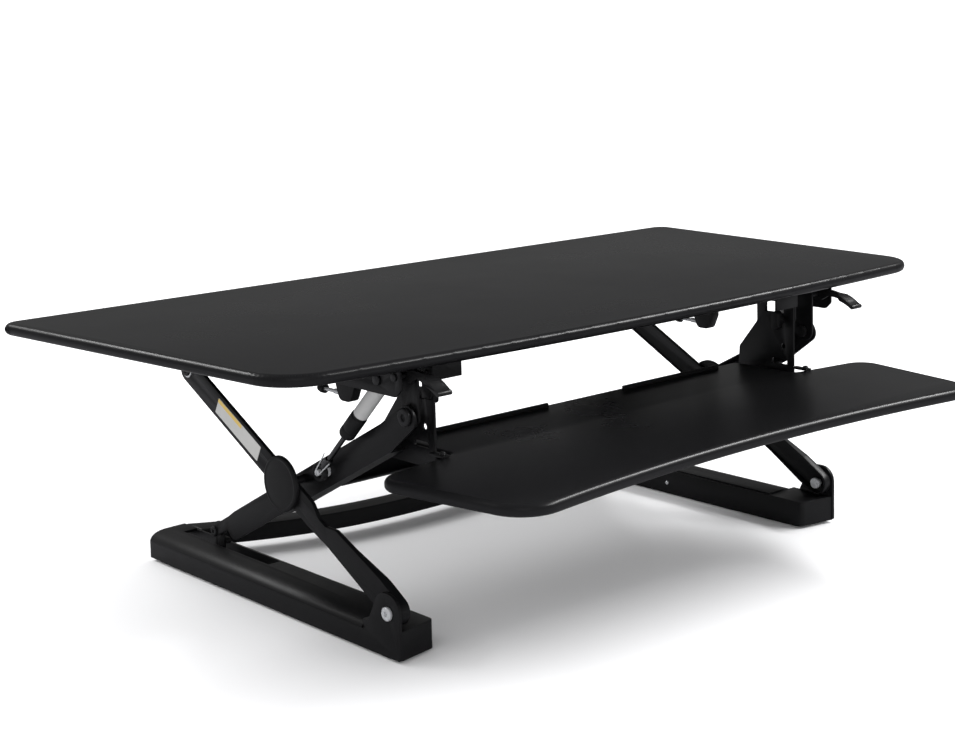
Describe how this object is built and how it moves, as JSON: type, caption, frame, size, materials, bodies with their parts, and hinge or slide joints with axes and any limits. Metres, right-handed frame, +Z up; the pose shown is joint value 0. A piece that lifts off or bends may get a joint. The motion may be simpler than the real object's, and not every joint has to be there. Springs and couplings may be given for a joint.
{
  "type": "standing desk converter",
  "caption": "Height-adjustable sit-stand desk converter: a wide desktop and a lower keyboard tray carried on scissor arms with gas springs, standing on floor feet.",
  "frame": {"origin": "centre of the overall footprint, on the surface the feet stand on", "axes": "+X to the right of the person at the desk, +Y away from them towards the rear, +Z up"},
  "size_m": [1.2018, 0.7858, 0.363],
  "materials": {
    "painted_steel": "satin black powder coat",
    "desktop_board": "matt black laminate on board",
    "tray_board": "matt black laminate on board",
    "black_plastic": "satin black",
    "rubber": "matt",
    "bright_steel": "bright zinc"
  },
  "bodies": {
    "base": {"rear_crossbeam": "painted_steel", "left_foot_channel": "painted_steel", "left_foot_cover": "black_plastic", "left_foot_pad": "rubber", "left_lower_front_bolt": "bright_steel", "right_foot_channel": "painted_steel", "right_foot_cover": "black_plastic", "right_foot_pad": "rubber", "right_lower_front_bolt": "bright_steel"},
    "outer_arms": {"left_outer_arm": "painted_steel", "left_pivot_cap": "black_plastic", "left_upper_rear_bolt": "bright_steel", "right_outer_arm": "painted_steel", "right_pivot_cap": "black_plastic", "right_upper_rear_bolt": "bright_steel"},
    "inner_frame": {"inner_crossbar": "painted_steel", "left_inner_arm": "painted_steel", "left_centre_bolt": "bright_steel", "left_upper_front_bolt": "bright_steel", "left_spring_stud": "bright_steel", "left_lower_rear_bolt": "bright_steel", "right_inner_arm": "painted_steel", "right_centre_bolt": "bright_steel", "right_upper_front_bolt": "bright_steel", "right_spring_stud": "bright_steel", "right_lower_rear_bolt": "bright_steel"},
    "top": {"desktop": "desktop_board", "keyboard_tray": "tray_board", "left_front_bracket": "painted_steel", "left_slide_rail": "painted_steel", "left_tray_hanger": "painted_steel", "left_tray_screw": "bright_steel", "left_spring_pin": "bright_steel", "left_lever_pin": "bright_steel", "left_lock_housing": "black_plastic", "right_front_bracket": "painted_steel", "right_slide_rail": "painted_steel", "right_tray_hanger": "painted_steel", "right_tray_screw": "bright_steel", "right_spring_pin": "bright_steel", "right_lever_pin": "bright_steel", "right_lock_housing": "black_plastic"},
    "upper_carriages": {"left_upper_carriage": "black_plastic", "left_rack_bar": "painted_steel", "right_upper_carriage": "black_plastic", "right_rack_bar": "painted_steel"},
    "lower_carriages": {"left_lower_carriage": "painted_steel", "right_lower_carriage": "painted_steel"},
    "left_gas_cylinder": {"left_spring_cylinder": "painted_steel"},
    "left_gas_rod": {"left_spring_rod": "bright_steel"},
    "left_roller_wheel": {"left_roller": "black_plastic"},
    "left_lever": {"left_release_lever": "black_plastic"},
    "left_lock_bolt": {"left_lock_pin": "bright_steel"},
    "left_knob": {"left_tray_knob": "black_plastic"},
    "right_gas_cylinder": {"right_spring_cylinder": "painted_steel"},
    "right_gas_rod": {"right_spring_rod": "bright_steel"},
    "right_roller_wheel": {"right_roller": "black_plastic"},
    "right_lever": {"right_release_lever": "black_plastic"},
    "right_lock_bolt": {"right_lock_pin": "bright_steel"},
    "right_knob": {"right_tray_knob": "black_plastic"}
  },
  "joints": [
    {"name": "lift", "type": "hinge", "parent": "base", "child": "outer_arms", "pos_m": [0, -0.142, 0.057], "axis": [1, 0, 0], "range_deg": [-24.5, 20.9]},
    {"name": "scissor_centre", "type": "hinge", "parent": "outer_arms", "child": "inner_frame", "pos_m": [0, 0.0705, 0.16899], "axis": [1, 0, 0], "range_deg": [-42, 49.2]},
    {"name": "top_front_pivot", "type": "hinge", "parent": "inner_frame", "child": "top", "pos_m": [0, -0.142, 0.28098], "axis": [1, 0, 0], "range_deg": [-24.7, 21.1]},
    {"name": "upper_slider_pivot", "type": "hinge", "parent": "outer_arms", "child": "upper_carriages", "pos_m": [0, 0.28299, 0.28098], "axis": [1, 0, 0], "range_deg": [-21.1, 24.7]},
    {"name": "lower_slider_pivot", "type": "hinge", "parent": "inner_frame", "child": "lower_carriages", "pos_m": [0, 0.28299, 0.057], "axis": [1, 0, 0], "range_deg": [-24.7, 21.1]},
    {"name": "left_spring_upper_pivot", "type": "hinge", "parent": "top", "child": "left_gas_cylinder", "pos_m": [-0.368, -0.123, 0.326], "axis": [1, 0, 0], "range_deg": [-19.3, 22.6]},
    {"name": "left_spring_slide", "type": "slide", "parent": "left_gas_cylinder", "child": "left_gas_rod", "axis": [0, 0.7148, -0.6994], "range_m": [-0.0196, 0.0167]},
    {"name": "left_roller_spin", "type": "hinge", "parent": "lower_carriages", "child": "left_roller_wheel", "pos_m": [-0.3545, 0.28299, 0.022], "axis": [1, 0, 0], "continuous": true},
    {"name": "left_lever_squeeze", "type": "hinge", "parent": "top", "child": "left_lever", "pos_m": [-0.364, -0.155, 0.333], "axis": [1, 0, 0], "range_deg": [-9, 0], "stiffness_Nm_per_rad": 0.8},
    {"name": "left_lock_release", "type": "slide", "parent": "top", "child": "left_lock_bolt", "axis": [1, 0, 0], "range_m": [0, 0.0061]},
    {"name": "left_knob_turn", "type": "hinge", "parent": "top", "child": "left_knob", "pos_m": [-0.307, -0.129, 0.3], "axis": [1, 0, 0], "continuous": true},
    {"name": "right_spring_upper_pivot", "type": "hinge", "parent": "top", "child": "right_gas_cylinder", "pos_m": [0.368, -0.123, 0.326], "axis": [1, 0, 0], "range_deg": [-19.3, 22.6]},
    {"name": "right_spring_slide", "type": "slide", "parent": "right_gas_cylinder", "child": "right_gas_rod", "axis": [0, 0.7148, -0.6994], "range_m": [-0.0196, 0.0167]},
    {"name": "right_roller_spin", "type": "hinge", "parent": "lower_carriages", "child": "right_roller_wheel", "pos_m": [0.3545, 0.28299, 0.022], "axis": [1, 0, 0], "continuous": true},
    {"name": "right_lever_squeeze", "type": "hinge", "parent": "top", "child": "right_lever", "pos_m": [0.364, -0.155, 0.333], "axis": [1, 0, 0], "range_deg": [-9, 0], "stiffness_Nm_per_rad": 0.8},
    {"name": "right_lock_release", "type": "slide", "parent": "top", "child": "right_lock_bolt", "axis": [-1, 0, 0], "range_m": [0, 0.0061]},
    {"name": "right_knob_turn", "type": "hinge", "parent": "top", "child": "right_knob", "pos_m": [0.307, -0.129, 0.3], "axis": [1, 0, 0], "continuous": true}
  ],
  "couplings": [
    {"joint": "scissor_centre", "follows": "lift", "ratio": -2},
    {"joint": "top_front_pivot", "follows": "lift", "ratio": 1},
    {"joint": "upper_slider_pivot", "follows": "lift", "ratio": -1},
    {"joint": "lower_slider_pivot", "follows": "lift", "ratio": 1},
    {"joint": "left_spring_upper_pivot", "follows": "lift", "ratio": -0.91526},
    {"joint": "left_spring_slide", "follows": "lift", "m_per_rad": 0.04528},
    {"joint": "left_lock_release", "follows": "left_lever_squeeze", "m_per_rad": -0.0382},
    {"joint": "right_spring_upper_pivot", "follows": "lift", "ratio": -0.91526},
    {"joint": "right_spring_slide", "follows": "lift", "m_per_rad": 0.04528},
    {"joint": "right_lock_release", "follows": "right_lever_squeeze", "m_per_rad": -0.0382}
  ]
}
